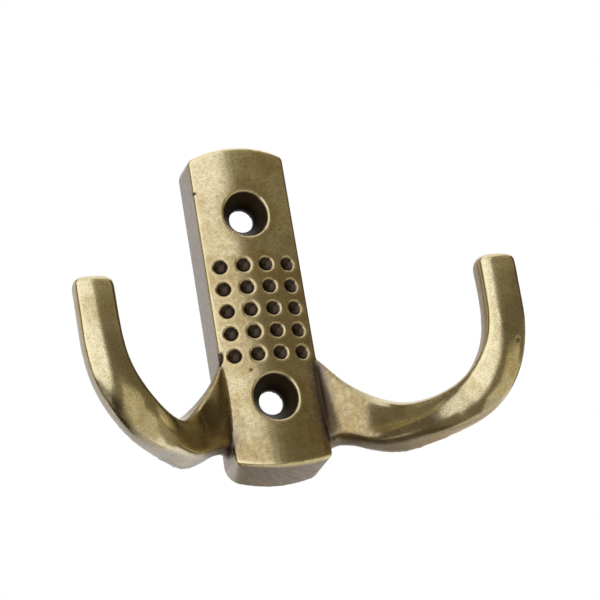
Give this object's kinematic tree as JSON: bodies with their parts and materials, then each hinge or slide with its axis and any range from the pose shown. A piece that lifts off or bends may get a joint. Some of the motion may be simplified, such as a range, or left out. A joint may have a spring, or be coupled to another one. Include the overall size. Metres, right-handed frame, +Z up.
{
  "type": "double robe hook",
  "caption": "Cast robe hook with a crowned, dimpled wall plate, countersunk screw holes and a twisted, upturned arm on each side for hanging robes and towels.",
  "frame": {"origin": "on the wall plane, midway between the axes of the two screw holes", "axes": "+Z up, +Y into the wall, so the front looks towards -Y; +X to the right for someone facing the front"},
  "size_m": [0.0728, 0.0307, 0.0578],
  "materials": {
    "antique_brass": "antique brass plating, dark patina in the recesses and rubbed bright on the high faces"
  },
  "bodies": {
    "root": {"hook_casting": "antique_brass"}
  },
  "joints": []
}
